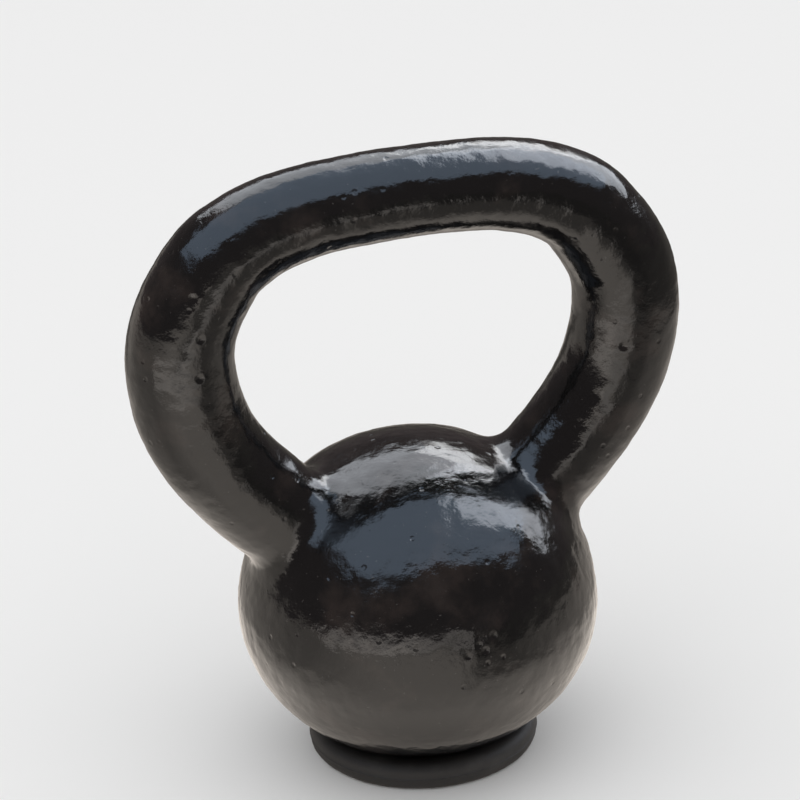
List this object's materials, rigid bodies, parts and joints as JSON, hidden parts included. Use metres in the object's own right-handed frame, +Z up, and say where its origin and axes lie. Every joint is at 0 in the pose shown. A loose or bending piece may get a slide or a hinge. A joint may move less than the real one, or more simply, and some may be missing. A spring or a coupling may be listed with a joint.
{
  "type": "kettlebell",
  "caption": "Cast iron kettlebell in glossy black enamel, with a loop handle and a matte black rubber foot.",
  "frame": {"origin": "on the floor, at the middle of the rubber foot's underside, under the middle of the ball", "axes": "+Z up through the ball and the middle of the grip, +X along the grip, +Y away from the front"},
  "size_m": [0.213, 0.1372, 0.2438],
  "materials": {
    "black_enamel": "glossy enamel over a bumpy sand casting",
    "black_rubber": "matte moulded rubber",
    "zinc_plate": "zinc plated, satin",
    "screw_steel": "black oxide, oiled"
  },
  "bodies": {
    "root": {"ball_and_handle_casting": "black_enamel", "rubber_foot": "black_rubber", "foot_washer": "zinc_plate", "foot_screw": "screw_steel"}
  },
  "joints": []
}
